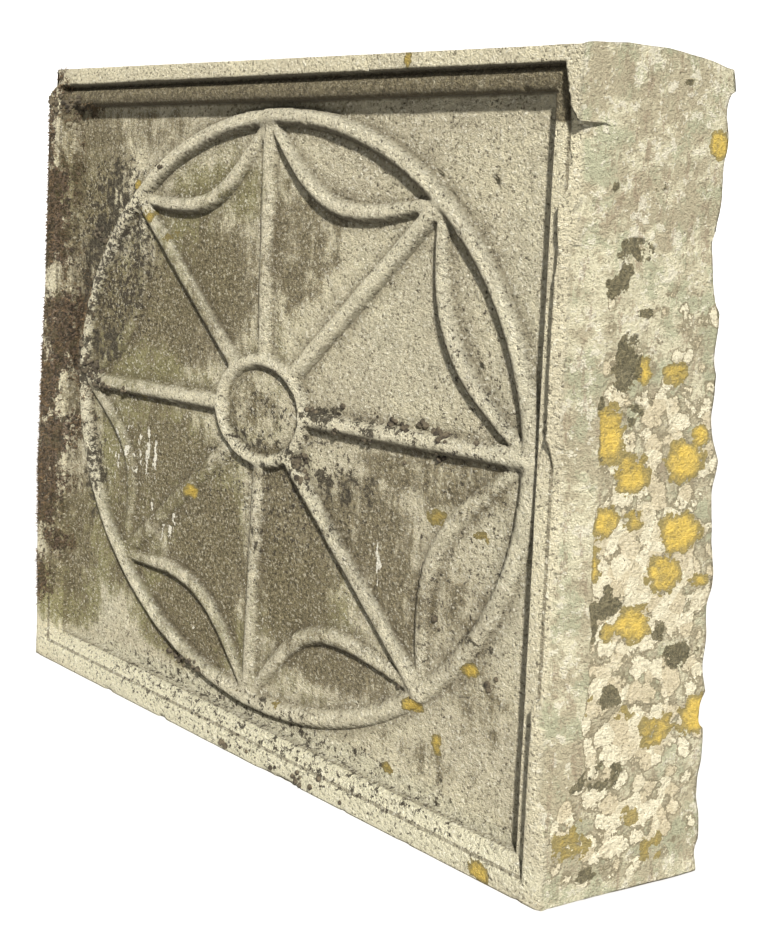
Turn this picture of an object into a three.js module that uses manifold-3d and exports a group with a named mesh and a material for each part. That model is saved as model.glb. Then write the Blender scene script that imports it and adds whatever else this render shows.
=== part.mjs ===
// Stone relief panel: a thick block of weathered sandstone with a moulded frame
// round a sunk field, and in the field an eight-spoked wheel in half-round rolls.
// Millimetres, +Z up. The carved front looks along -Y and the stone stands on its underside.
import * as THREE from 'three';
import Module from 'manifold-3d';

// The block
const stoneHeight = 605;
const footWidth = 659;
const topWidth = 647;
const stoneDepth = 141.5;
const sideSplay = 48;
const leftBulge = 6;
const bulgeHeight = 210;
const bulgeReach = 130;
const cornerRound = 3;
const topCrown = 5;
const backWear = 5;
const backCornerWear = 10;
const edgeWave = 2.2;
// Shells broken from the rear right edge: height, half height and how deep.
const rearShells = [[505, 85, 17], [460, 40, 22], [411, 42, 14], [353, 40, 14], [290, 55, 8], [190, 95, 7],
  [128, 16, 11], [75, 70, 5]];

// The frame, from the outside in, and the sunk field
const topFillet = [16, 11.5];
const footFillet = [18, 15];
const leftFillet = 20;
const rightFillet = 17;
const filletLean = 7;
const quirkWidth = 3;
const quirkDepth = 9.5;
const topRoll = 17;
const footRoll = 11;
const leftRoll = 15;
const rightRoll = 10;
const rollSet = 4.5;
const rightRollSet = 8;
const fieldDepth = 18;

// The wheel
const wheelX = 337;
const wheelZ = 303;
const wheelHalfWidth = 278.5;
const wheelHalfHeight = 255.5;
const hubX = 326;
const hubZ = 306;
const hubHalfWidth = 54;
const hubHalfHeight = 43.5;
const hubRoll = 14;
const hubDiscRise = 4;
const wheelRoll = 17;
const reliefRise = 9;
const rollFoot = 0.6;
const spokeCount = 8;
const spokeLean = [1.4, -1, 1.2, 1.5, 1.5, -3.8, -0.9, 0.7];
const spokeKept = [1, 1, 0.7, 0.7, 0.85, 0.4, 0.7, 0.8];
const leafBow = [0.13, 0.18, 0.16, 0.17, 0.17, 0.18, 0.21, 0.16];
const leafKept = [1, 1, 0.9, 0.5, 0.55, 0.8, 0.75, 0.55];
const leafTip = 0.45;
const ringWear = 0.4;

// The breaks. Down the right edge: height, where the break starts beside the fillet's inner edge,
// and how deep it starts.
const breakRows = [[592, -1, 2], [550, -1.5, 6.5], [508, -1.5, 6], [498, 0.5, 1], [338, 1, 1], [306, -7, 5.5],
  [150, -6, 5.5], [138, 7, 1], [60, 8, 0.5]];
const breakSide = 29;
const breakRise = 40;
const breakScoop = 130;
const breakFoot = 40;
const notchWidth = 18;
const notchHeight = 22;
const notchDepth = 26;
const chipX = 449;
const chipWidth = 5;
const leftWear = 3.5;

// How finely the curves are cut
const wheelSteps = 72;
const hubSteps = 36;
const leafSteps = 14;
const rollSteps = 6;
const sideSteps = 24;
const topSteps = 16;
const breakSteps = 40;
const depthSteps = 6;

const stoneColour = '#a39a80';
const overlap = 5;
const fullTurn = Math.PI * 2;

const mix = (a, b, t) => a + (b - a) * t;

const wasm = await Module();
wasm.setup();

// A closed body through a row of outlines, turned so that its faces look outward.
function loft(outlines, joined = false) {
  const count = outlines[0].length;
  const points = outlines.flat();
  const faces = [];
  const last = joined ? outlines.length : outlines.length - 1;
  for (let i = 0; i < last; i += 1) {
    const near = i * count;
    const far = ((i + 1) % outlines.length) * count;
    for (let j = 0; j < count; j += 1) {
      const k = (j + 1) % count;
      faces.push([near + j, near + k, far + k], [near + j, far + k, far + j]);
    }
  }
  if (!joined) {
    // Each end is closed by triangles round its own middle.
    [outlines[0], outlines.at(-1)].forEach((outline, end) => {
      const first = end * count * (outlines.length - 1);
      const middle = points.length;
      points.push(outline.reduce((sum, p) => sum.add(p), new THREE.Vector3()).divideScalar(count));
      for (let j = 0; j < count; j += 1) {
        const edge = [first + j, first + ((j + 1) % count)];
        faces.push([middle, ...(end ? edge : edge.reverse())]);
      }
    });
  }
  const volume = faces.reduce((sum, [a, b, c]) => sum + points[a].dot(
    new THREE.Vector3().crossVectors(points[b], points[c])), 0);
  const triVerts = faces.flatMap(([a, b, c]) => (volume > 0 ? [a, b, c] : [a, c, b]));
  return new wasm.Manifold(new wasm.Mesh({
    numProp: 3,
    vertProperties: Float32Array.from(points.flatMap((p) => [p.x, p.y, p.z])),
    triVerts: Uint32Array.from(triVerts),
  }));
}

// The slow waver of a roughly dressed edge, between -1 and 1.
function waver(s, phase) {
  return 0.6 * Math.sin(s / 17 + phase) + 0.4 * Math.sin(s / 7.3 + 2 * phase);
}

// The front's right edge leans inward toward the top.
function rightEdge(z) {
  return mix(footWidth, topWidth, z / stoneHeight);
}

// The left side swells outward below its middle.
function leftEdge(z) {
  return -leftBulge * Math.exp(-(((z - bulgeHeight) / bulgeReach) ** 2));
}

// How deep a shell is broken from the rear right edge at a height.
function rearShell(z) {
  return rearShells.reduce((deepest, [height, half, depth]) => Math.max(
    deepest, depth * Math.sqrt(Math.max(0, 1 - ((z - height) / half) ** 2))), 0);
}

// The outline of the block at a depth, 0 at the front and 1 at the back.
function blockOutline(depth) {
  const rough = edgeWave * depth;
  const lost = (z) => (depth < 1 ? 0 : rearShell(z));
  const rightAt = (z) => rightEdge(z) + sideSplay * (depth - lost(z) / stoneDepth)
    + rough * (waver(z, 1) - 0.5) - backCornerWear * depth ** 3 * Math.max(0, z / 60 - 9);
  const leftAt = (z) => leftEdge(z) * (1 - 0.5 * depth) + rough * waver(z, 4);
  const topAt = (x) => stoneHeight + topCrown * (x / footWidth) ** 2 * Math.sin(Math.PI * depth ** 0.8)
    - backWear * depth ** 2 + rough * 0.5 * waver(x, 2);
  const back = depth * stoneDepth;
  const right = rightAt(stoneHeight);
  const points = [];
  for (let i = 0; i <= 2; i += 1) {
    const turn = (i / 2) * Math.PI / 2;
    const soft = cornerRound * depth;
    points.push([rightAt(0) - soft + soft * Math.sin(turn), back, soft - soft * Math.cos(turn)]);
  }
  for (let i = 1; i < sideSteps; i += 1) {
    const z = mix(cornerRound, stoneHeight - cornerRound, i / sideSteps);
    points.push([rightAt(z), back - lost(z), z]);
  }
  for (let i = 0; i <= topSteps; i += 1) {
    const x = mix(right, leftAt(stoneHeight), i / topSteps);
    points.push([x, back, topAt(x)]);
  }
  for (let i = 1; i < sideSteps; i += 1) {
    const z = mix(stoneHeight - cornerRound, cornerRound, i / sideSteps);
    points.push([leftAt(z), back, z]);
  }
  points.push([leftAt(0), back, 0]);
  return points.map((p) => new THREE.Vector3(...p));
}

// The flat of the back, inside its broken edges.
function backFlat() {
  const middleX = footWidth / 2;
  return blockOutline(1).map(({ x, z }) => new THREE.Vector3(
    mix(middleX, x, 0.9), stoneDepth, mix(stoneHeight / 2, z, z > 20 ? 0.95 : 1)));
}

// One rectangle of the frame's section: so far into the quirk, over so much of the roll, so deep.
function frameRectangle(inset, rolled, depth) {
  const left = leftFillet + inset + rolled * leftRoll;
  const right = footWidth - rightFillet - inset - rolled * rightRoll;
  const foot = footFillet.map((fillet) => fillet + inset + rolled * footRoll);
  const top = topFillet.map((fillet) => stoneHeight - fillet - inset - rolled * topRoll);
  return [[left, foot[0]], [right, foot[1]], [right - filletLean, top[1]], [left, top[0]]]
    .map(([x, z]) => new THREE.Vector3(x, depth, z));
}

// What is cut away inside the fillet: the quirk, the space over the roll, and the sunk field.
function sunkField() {
  const outlines = [frameRectangle(0, 0, -overlap), frameRectangle(0, 0, 0), frameRectangle(1, 0, quirkDepth)];
  for (let i = 0; i <= rollSteps; i += 1) {
    const turn = (i / rollSteps) * Math.PI;
    const depth = quirkDepth - (quirkDepth - rollSet) * Math.sin(turn);
    outlines.push(frameRectangle(quirkWidth, (1 - Math.cos(turn)) / 2, depth));
  }
  outlines.push(frameRectangle(quirkWidth + 1, 1, fieldDepth));
  return loft(outlines);
}

// A bar with the given section from one corner of the frame to another.
function frameBar(section, from, to) {
  return loft([section.map((corners) => corners[from]), section.map((corners) => corners[to])]);
}

// Along the foot and the left side the quirk is worn and filled to a slope.
function wornQuirks() {
  const slope = [frameRectangle(-1, 0, 1), frameRectangle(quirkWidth, 0.4, rollSet + 0.5),
    frameRectangle(quirkWidth, 0.4, quirkDepth + 1), frameRectangle(-1, 0, quirkDepth + 1)];
  return frameBar(slope, 0, 1).add(frameBar(slope, 0, 3));
}

// The roll of the right side is worn low, into the fillet's shade.
function wornRoll() {
  const space = [frameRectangle(0.5, 0, -overlap), frameRectangle(0.7, 0, rightRollSet),
    frameRectangle(quirkWidth + 1, 1, rightRollSet), frameRectangle(quirkWidth + 1, 1, -overlap)];
  return frameBar(space, 1, 2);
}

// A half-round roll along a path in the field; its width may swell and fade along the way.
function roll(path, width, rise, joined = false) {
  const outlines = path.map(({ x, z, swell = 1, kept = 1 }, i) => {
    const before = path[joined ? (i + path.length - 1) % path.length : Math.max(i - 1, 0)];
    const after = path[joined ? (i + 1) % path.length : Math.min(i + 1, path.length - 1)];
    const length = Math.hypot(after.x - before.x, after.z - before.z);
    const across = new THREE.Vector3(-(after.z - before.z) / length, 0, (after.x - before.x) / length);
    const place = (side, height) => new THREE.Vector3(x, fieldDepth - height, z)
      .addScaledVector(across, side);
    const half = swell * width / 2;
    const section = [place(half, -overlap)];
    for (let j = 0; j <= rollSteps; j += 1) {
      const turn = (j / rollSteps) * Math.PI;
      section.push(place(half * Math.cos(turn), swell * (kept * rise + rollFoot) * Math.sin(turn) - rollFoot));
    }
    section.push(place(-half, -overlap));
    return section;
  });
  return loft(outlines, joined);
}

function ellipse(centreX, centreZ, halfWidth, halfHeight, steps) {
  return Array.from({ length: steps }, (_, i) => {
    const turn = (i / steps) * fullTurn;
    return { x: centreX + halfWidth * Math.cos(turn), z: centreZ + halfHeight * Math.sin(turn) };
  });
}

// The wheel's ring, worn low toward the lower right.
function wheelRing() {
  const path = ellipse(wheelX, wheelZ, wheelHalfWidth, wheelHalfHeight, wheelSteps).map(({ x, z }) => {
    const low = Math.max(0, ((x - wheelX) / wheelHalfWidth - (z - wheelZ) / wheelHalfHeight) / Math.SQRT2);
    return { x, z, kept: 1 - ringWear * low ** 2 };
  });
  return roll(path, wheelRoll, reliefRise, true);
}

// Where a spoke meets the crest of the ring, walking out from the hub.
function spokeEnd(index) {
  const turn = THREE.MathUtils.degToRad((index * 360) / spokeCount + spokeLean[index]);
  const dx = Math.cos(turn) / wheelHalfWidth;
  const dz = Math.sin(turn) / wheelHalfHeight;
  const ox = (hubX - wheelX) / wheelHalfWidth;
  const oz = (hubZ - wheelZ) / wheelHalfHeight;
  const a = dx * dx + dz * dz;
  const b = ox * dx + oz * dz;
  const reach = (-b + Math.sqrt(b * b - a * (ox * ox + oz * oz - 1))) / a;
  return { x: hubX + reach * Math.cos(turn), z: hubZ + reach * Math.sin(turn) };
}

function spoke(index) {
  const end = spokeEnd(index);
  const start = { x: mix(hubX, end.x, 0.19), z: mix(hubZ, end.z, 0.19) };
  return roll([start, end], wheelRoll, reliefRise * spokeKept[index]);
}

// The inner edge of a leaf: an arc from one spoke's end to the next that bows toward the hub.
function leafArc(index) {
  const from = spokeEnd(index);
  const to = spokeEnd((index + 1) % spokeCount);
  const path = [];
  for (let i = 0; i <= leafSteps; i += 1) {
    const t = i / leafSteps;
    const bow = 4 * t * (1 - t);
    const x = mix(from.x, to.x, t);
    const z = mix(from.z, to.z, t);
    path.push({
      x: mix(x, wheelX, leafBow[index] * bow),
      z: mix(z, wheelZ, leafBow[index] * bow),
      swell: mix(leafTip, 1, Math.sqrt(bow)),
    });
  }
  return roll(path, wheelRoll, reliefRise * leafKept[index]);
}

// The low rough disc inside the hub's ring.
function hubDisc() {
  const edge = (scale, y) => ellipse(hubX, hubZ, hubHalfWidth * scale, hubHalfHeight * scale, hubSteps)
    .map(({ x, z }) => new THREE.Vector3(x, y, z));
  return loft([edge(1, fieldDepth + overlap), edge(1, fieldDepth - hubDiscRise * 0.7),
    edge(0.5, fieldDepth - hubDiscRise)]);
}

// A value of the break's rows at a height, straight between two rows.
function breakValue(z, column) {
  const after = Math.max(1, breakRows.findIndex((row) => row[0] <= z));
  const [upper, lower] = [breakRows[after - 1], breakRows[after]];
  const t = Math.min(1, Math.max(0, (upper[0] - z) / (upper[0] - lower[0])));
  return mix(upper[column], lower[column], t);
}

// The long break that took the outer edge of the frame's right side.
function brokenEdge() {
  const top = breakRows[0][0];
  const outlines = [];
  for (let i = 0; i <= breakSteps; i += 1) {
    const z = mix(breakFoot, top, i / breakSteps);
    const start = footWidth - rightFillet - filletLean * (z / stoneHeight) + breakValue(z, 1);
    const lip = breakValue(z, 2);
    // The break's outer part stops lower than its inner part, in a scoop.
    const drop = breakRise * Math.max(0, 1 - (top - z) / breakScoop);
    const fade = Math.min(1, (z - breakFoot) / 60 + 0.05);
    const side = breakSide * fade + 2 * waver(z, 3);
    const edge = rightEdge(z);
    outlines.push([
      new THREE.Vector3(start, -overlap, z),
      new THREE.Vector3(start + 1, lip * fade, z),
      new THREE.Vector3(mix(start, edge, 0.5), mix(lip, side, 0.3) * fade, z - drop * 0.75),
      new THREE.Vector3(edge + side * sideSplay / stoneDepth, Math.max(side, 1), z - drop),
      new THREE.Vector3(edge + 30, Math.max(side, 1) + 3, z - drop),
      new THREE.Vector3(edge + 30, -overlap, z - drop),
    ]);
  }
  return loft(outlines);
}

// A cut through the front edge of the block, with the given outline seen from the front.
function frontCut(outline, depth, shrink) {
  const at = (y, scale) => outline.map(([x, z]) => new THREE.Vector3(
    mix(outline[0][0], x, scale), y, mix(outline[0][1], z, scale)));
  return loft([at(-overlap, 1), at(depth, shrink)]);
}

function brokenCorner() {
  const foot = stoneHeight - notchHeight;
  return frontCut([
    [-20, stoneHeight + 20], [-20, foot - 6], [0, foot - 2], [notchWidth * 0.6, foot + 2],
    [notchWidth, foot + 9], [notchWidth + 1, stoneHeight + 20],
  ], notchDepth, 0.8);
}

function chippedFillet() {
  return frontCut([
    [chipX, stoneHeight + 12], [chipX - chipWidth, stoneHeight + 12],
    [chipX - chipWidth * 0.3, stoneHeight - topFillet[1] * 0.8],
    [chipX + chipWidth * 0.3, stoneHeight - topFillet[0]], [chipX + chipWidth, stoneHeight + 12],
  ], chipWidth, 0.4);
}

// The left edge of the front is worn round.
function wornEdge() {
  const outlines = [];
  for (let i = 0; i <= sideSteps; i += 1) {
    const z = mix(-overlap, stoneHeight + overlap, i / sideSteps);
    const wear = leftWear * (1 + 0.25 * waver(z, 5));
    const edge = leftEdge(z);
    outlines.push([
      new THREE.Vector3(-30, -overlap, z),
      new THREE.Vector3(edge + wear + overlap, -overlap, z),
      new THREE.Vector3(edge + wear, 0, z),
      new THREE.Vector3(edge + wear * 0.3, wear * 0.35, z),
      new THREE.Vector3(edge, wear * 1.2, z),
      new THREE.Vector3(-30, wear * 1.2 + 30, z),
    ]);
  }
  return loft(outlines);
}

const depths = Array.from({ length: depthSteps + 1 }, (_, i) => i / depthSteps);
const block = loft([...depths.map(blockOutline), backFlat()]);
const wheel = wasm.Manifold.union([
  wheelRing(),
  roll(ellipse(hubX, hubZ, hubHalfWidth, hubHalfHeight, hubSteps), hubRoll, reliefRise, true),
  hubDisc(),
  ...Array.from({ length: spokeCount }, (_, i) => spoke(i)),
  ...Array.from({ length: spokeCount }, (_, i) => leafArc(i)),
]);
const breaks = wasm.Manifold.union([brokenEdge(), brokenCorner(), chippedFillet(), wornEdge()]);
const stone = block.subtract(sunkField()).add(wornQuirks()).subtract(wornRoll()).subtract(breaks).add(wheel);

const cut = stone.getMesh();
const geometry = new THREE.BufferGeometry();
geometry.setAttribute('position', new THREE.BufferAttribute(Float32Array.from(cut.vertProperties), 3));
geometry.setIndex(new THREE.BufferAttribute(Uint32Array.from(cut.triVerts), 1));

// The stone stands centred over the origin.
geometry.computeBoundingBox();
const middle = geometry.boundingBox.getCenter(new THREE.Vector3());
geometry.translate(-middle.x, -middle.y, -geometry.boundingBox.min.z);
geometry.computeVertexNormals();

const panel = new THREE.Mesh(geometry, new THREE.MeshStandardMaterial({
  color: stoneColour,
  roughness: 0.93,
  metalness: 0,
}));
panel.name = 'relief_panel';

const group = new THREE.Group();
group.name = 'stone_relief_panel';
group.add(panel);

export default group;
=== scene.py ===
import math

import bpy
import numpy as np
from mathutils import Matrix, Vector


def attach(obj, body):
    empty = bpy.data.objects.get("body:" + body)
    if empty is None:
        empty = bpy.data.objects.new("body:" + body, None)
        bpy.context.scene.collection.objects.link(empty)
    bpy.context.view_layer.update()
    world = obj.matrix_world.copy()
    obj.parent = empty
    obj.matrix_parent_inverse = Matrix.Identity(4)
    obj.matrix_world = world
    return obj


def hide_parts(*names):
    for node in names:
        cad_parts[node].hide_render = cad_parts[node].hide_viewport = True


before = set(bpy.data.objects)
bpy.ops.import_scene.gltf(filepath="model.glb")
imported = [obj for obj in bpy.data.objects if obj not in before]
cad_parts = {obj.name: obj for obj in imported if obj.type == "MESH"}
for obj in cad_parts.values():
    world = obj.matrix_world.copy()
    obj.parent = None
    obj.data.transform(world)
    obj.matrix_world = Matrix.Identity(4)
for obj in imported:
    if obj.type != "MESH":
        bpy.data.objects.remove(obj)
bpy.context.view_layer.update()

# Stone relief panel. Lengths of the stone are in millimetres, measured from the front's left
# foot: x to the right, y behind the front and z up. The scene is in metres, and its origin is on
# the underside, below the middle of the solid's box.
MM = 0.001
MIDDLE_X = 351.2591
MIDDLE_Y = 70.75

# The block
STONE_HEIGHT = 605
FOOT_WIDTH = 659
TOP_WIDTH = 647
STONE_DEPTH = 141.5
SIDE_SPLAY = 48
LEFT_BULGE, BULGE_HEIGHT, BULGE_REACH = 6, 210, 130
CORNER_ROUND = 3
TOP_CROWN = 5
BACK_WEAR = 5
BACK_CORNER_WEAR = 10
EDGE_WAVE = 2.2
# Shells broken from the rear right edge: height, half height and how deep.
REAR_SHELLS = ((505, 85, 17), (460, 40, 22), (411, 42, 14), (353, 40, 14), (290, 55, 8), (190, 95, 7),
               (128, 16, 11), (75, 70, 5))

# The frame and the sunk field; the top and foot fillets run from one width to another.
TOP_FILLET = (16, 11.5)
FOOT_FILLET = (18, 15)
LEFT_FILLET = 20
RIGHT_FILLET = 17
FILLET_LEAN = 7
FILLET_SHARES = (0, 0.08, 0.2, 0.35, 0.5, 0.65, 0.8, 0.92)
QUIRK_WIDTH = 3
QUIRK_DEPTH = 9.5
TOP_ROLL, FOOT_ROLL, LEFT_ROLL, RIGHT_ROLL = 17, 11, 15, 10
ROLL_SET = 4.5
RIGHT_ROLL_SET = 8
ROLL_STEPS = 8
FIELD_DEPTH = 18
FIELD_STEP = 2.6

# The wheel
WHEEL_X, WHEEL_Z = 337, 303
WHEEL_HALF_WIDTH, WHEEL_HALF_HEIGHT = 278.5, 255.5
HUB_X, HUB_Z = 326, 306
HUB_HALF_WIDTH, HUB_HALF_HEIGHT = 54, 43.5
HUB_ROLL = 14
HUB_DISC_RISE = 4
WHEEL_ROLL = 17
RELIEF_RISE = 9
SPOKE_COUNT = 8
SPOKE_START = 0.19
SPOKE_LEAN = (1.4, -1, 1.2, 1.5, 1.5, -3.8, -0.9, 0.7)
SPOKE_KEPT = (1, 1, 0.7, 0.7, 0.85, 0.4, 0.7, 0.8)
LEAF_BOW = (0.13, 0.18, 0.16, 0.17, 0.17, 0.18, 0.21, 0.16)
LEAF_KEPT = (1, 1, 0.9, 0.5, 0.55, 0.8, 0.75, 0.55)
LEAF_TIP = 0.45
RING_WEAR = 0.4

# The breaks. Down the right edge: height, where the break starts beside the fillet's inner edge,
# and how deep it starts.
BREAK_ROWS = ((592, -1, 2), (550, -1.5, 6.5), (508, -1.5, 6), (498, 0.5, 1), (338, 1, 1), (306, -7, 5.5),
              (150, -6, 5.5), (138, 7, 1), (60, 8, 0.5))
BREAK_SIDE = 29
BREAK_RISE = 40
BREAK_SCOOP = 130
BREAK_FOOT = 40
BREAK_BARE = 13
NOTCH_WIDTH, NOTCH_HEIGHT, NOTCH_DEPTH = 18, 22, 26
CHIP_X, CHIP_WIDTH = 449, 5
LEFT_WEAR = 3.5

# The camera
CAMERA_PLACE = (0.81140, -0.79530, 0.50043)
CAMERA_RIGHT = (0.72281, 0.68917, 0.05080)
CAMERA_DOWN = (0.10633, -0.03828, -0.99359)
CAMERA_FORWARD = (-0.68281, 0.72359, -0.10095)
FRAME_HEIGHT = 952
FOCAL_PIXELS = 1300
FILM = 36
RISE_SHIFT = -0.16

# The light
KEY_TOWARDS = (0.6, -0.51, 0.62)
KEY_STRENGTH = 9.3
KEY_ANGLE = 4.0
SKY_STRENGTH = 0.15


def mix(a, b, t):
    return a + (b - a) * t


def smooth(low, high, value):
    """0 below low, 1 above high and an even S between them."""
    t = np.clip((value - low) / (high - low), 0, 1)
    return t * t * (3 - 2 * t)


def waver(s, phase):
    """The slow waver of a roughly dressed edge, between -1 and 1."""
    return 0.6 * np.sin(s / 17 + phase) + 0.4 * np.sin(s / 7.3 + 2 * phase)


def lumps(points, size, seed):
    """Smooth lumps between -1 and 1, about one to every size millimetres."""
    lattice = np.random.default_rng(seed).uniform(-1, 1, (32, 32, 32))
    cell = points / size
    base = np.floor(cell).astype(int)
    part = cell - base
    part = part * part * (3 - 2 * part)
    total = np.zeros(len(points))
    for corner in np.ndindex(2, 2, 2):
        weight = np.prod(np.where(corner, part, 1 - part), axis=1)
        total += weight * lattice[tuple(((base + corner) % 32).T)]
    return total


def roughness(points, size, seed):
    """Lumps on lumps on lumps, each half the size of the last."""
    return (lumps(points, size, seed) + 0.5 * lumps(points, size / 2, seed + 1)
            + 0.3 * lumps(points, size / 4, seed + 2))


# The block's outline

def right_at(z, t):
    """The right edge at a height, t of the way back."""
    top_wear = BACK_CORNER_WEAR * t ** 3 * np.maximum(0, z / 60 - 9)
    return (mix(FOOT_WIDTH, TOP_WIDTH, z / STONE_HEIGHT) + SIDE_SPLAY * t
            + EDGE_WAVE * t * (waver(z, 1) - 0.5) - top_wear)


def left_at(z, t):
    """The left edge, which swells out below its middle, with the corner broken off at the top."""
    foot = STONE_HEIGHT - NOTCH_HEIGHT
    behind = smooth(0.85, 1.0, t * STONE_DEPTH / NOTCH_DEPTH)
    notch = NOTCH_WIDTH * smooth(foot - 3, foot + 9, z) * (1 - behind)
    bulge = LEFT_BULGE * np.exp(-((z - BULGE_HEIGHT) / BULGE_REACH) ** 2) * (1 - 0.5 * t)
    return EDGE_WAVE * t * waver(z, 4) + notch - bulge


def rear_shell(z):
    """How deep a shell is broken from the rear right edge at a height."""
    lost = [depth * np.sqrt(np.clip(1 - ((z - height) / half) ** 2, 0, 1))
            for height, half, depth in REAR_SHELLS]
    return np.maximum(np.max(lost, axis=0), 6 * (1 - smooth(10, 45, z)))


def top_at(x, t):
    crown = TOP_CROWN * (x / FOOT_WIDTH) ** 2 * np.sin(math.pi * t ** 0.8)
    return STONE_HEIGHT + crown - BACK_WEAR * t ** 2 + 0.5 * EDGE_WAVE * t * waver(x, 2)


def near_right(x):
    """How much of the right side's spread a point of the front takes, 1 at the edge."""
    return smooth(FOOT_WIDTH - 60, FOOT_WIDTH - 12, x)


def at_depth(x, z, y):
    """Where a point of the front rectangle comes to lie at a depth."""
    t = np.clip(y / STONE_DEPTH, 0, 1)
    front_right = right_at(z, 0)
    lift = z / STONE_HEIGHT * top_at(x, t)
    pull_right = near_right(x)
    pull_left = 1 - smooth(0, 18, x)
    moved = x + pull_right * (right_at(lift, t) - front_right) + pull_left * left_at(lift, t)
    # The lower right corner goes round towards the back.
    soft = np.maximum(CORNER_ROUND * t, 1e-6)
    corner_x = right_at(lift, t) - soft
    out_x, out_z = moved - corner_x, soft - lift
    inside = (out_x > 0) & (out_z > 0)
    reach = np.hypot(out_x, out_z)
    square = np.maximum(np.abs(out_x), np.abs(out_z))
    scale = np.where(inside, square / np.maximum(reach, 1e-6), 1)
    moved = np.where(inside, corner_x + out_x * scale, moved)
    lift = np.where(inside, soft - out_z * scale, lift)
    return moved, lift


# The wheel's rolls

def ellipse(centre_x, centre_z, half_width, half_height, steps):
    turn = np.linspace(0, 2 * math.pi, steps + 1)
    return np.stack([centre_x + half_width * np.cos(turn), centre_z + half_height * np.sin(turn)], 1)


def spoke_end(index):
    """Where a spoke meets the crest of the ring, walking out from the hub."""
    turn = math.radians(index * 360 / SPOKE_COUNT + SPOKE_LEAN[index])
    dx, dz = math.cos(turn) / WHEEL_HALF_WIDTH, math.sin(turn) / WHEEL_HALF_HEIGHT
    ox, oz = (HUB_X - WHEEL_X) / WHEEL_HALF_WIDTH, (HUB_Z - WHEEL_Z) / WHEEL_HALF_HEIGHT
    a, b = dx * dx + dz * dz, ox * dx + oz * dz
    reach = (-b + math.sqrt(b * b - a * (ox * ox + oz * oz - 1))) / a
    return np.array([HUB_X + reach * math.cos(turn), HUB_Z + reach * math.sin(turn)])


def leaf_arc(index, steps=28):
    """The inner edge of a leaf, from one spoke's end to the next, and its swell along the way."""
    start, end = spoke_end(index), spoke_end((index + 1) % SPOKE_COUNT)
    t = np.linspace(0, 1, steps + 1)[:, None]
    bow = 4 * t * (1 - t)
    path = mix(mix(start, end, t), np.array([WHEEL_X, WHEEL_Z]), LEAF_BOW[index] * bow)
    return path, mix(LEAF_TIP, 1, np.sqrt(bow[:, 0]))


def rolls():
    """Every roll of the wheel: its path, and the half width and the rise along it."""
    made = []
    hub = np.array([HUB_X, HUB_Z])
    middle = np.array([WHEEL_X, WHEEL_Z])
    ring = ellipse(*middle, WHEEL_HALF_WIDTH, WHEEL_HALF_HEIGHT, 200)
    side = (ring - middle) / (WHEEL_HALF_WIDTH, WHEEL_HALF_HEIGHT)
    low = np.maximum(0, (side[:, 0] - side[:, 1]) / math.sqrt(2))
    made.append((ring, np.full(len(ring), WHEEL_ROLL / 2), RELIEF_RISE * (1 - RING_WEAR * low ** 2)))
    eye = ellipse(*hub, HUB_HALF_WIDTH, HUB_HALF_HEIGHT, 80)
    made.append((eye, np.full(len(eye), HUB_ROLL / 2), np.full(len(eye), float(RELIEF_RISE))))
    for index in range(SPOKE_COUNT):
        end = spoke_end(index)
        made.append((np.array([mix(hub, end, SPOKE_START), end]), np.full(2, WHEEL_ROLL / 2),
                     np.full(2, RELIEF_RISE * SPOKE_KEPT[index])))
        path, swell = leaf_arc(index)
        made.append((path, swell * WHEEL_ROLL / 2, RELIEF_RISE * LEAF_KEPT[index] * swell))
    return made


# Farther than any roll reaches: it stands for no roll near.
FAR = 99.0


def relief(points, wheel):
    """How near each point is to a roll, 1 at its foot and 0 on its crest, how far that is in
    millimetres inside or outside the foot, and the height of the carving there."""
    nearest = np.full(len(points), FAR)
    margin = np.full(len(points), FAR)
    heights = np.zeros(len(points))
    for path, half, rise in wheel:
        share = np.full(len(points), FAR)
        away = np.full(len(points), FAR)
        crest = np.zeros(len(points))
        for start, end, half_start, half_end, rise_start, rise_end in zip(
                path[:-1], path[1:], half[:-1], half[1:], rise[:-1], rise[1:]):
            box = np.maximum(half_start, half_end) * 2.2
            low, high = np.minimum(start, end) - box, np.maximum(start, end) + box
            near = np.flatnonzero(np.all((points > low) & (points < high), axis=1))
            if not len(near):
                continue
            along = end - start
            t = np.clip((points[near] - start) @ along / (along @ along), 0, 1)
            gap = np.linalg.norm(points[near] - start - t[:, None] * along, axis=1)
            half_here = mix(half_start, half_end, t)
            closer = gap / half_here < share[near]
            hit = near[closer]
            share[hit] = (gap / half_here)[closer]
            away[hit] = (gap - half_here)[closer]
            crest[hit] = mix(rise_start, rise_end, t)[closer]
        height = crest * np.sqrt(np.clip(1 - share ** 2, 0, 1))
        heights += height ** 6
        better = away < margin
        margin = np.where(better, away, margin)
        nearest = np.minimum(nearest, share)
    return nearest, margin, heights ** (1 / 6)


# The front

# Lines of the section: the fillet's inner edge, and all its creases.
ARRIS = len(FILLET_SHARES)
CREASES = (ARRIS, ARRIS + 1, ARRIS + 2, ARRIS + 2 + ROLL_STEPS, ARRIS + 3 + ROLL_STEPS)


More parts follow.
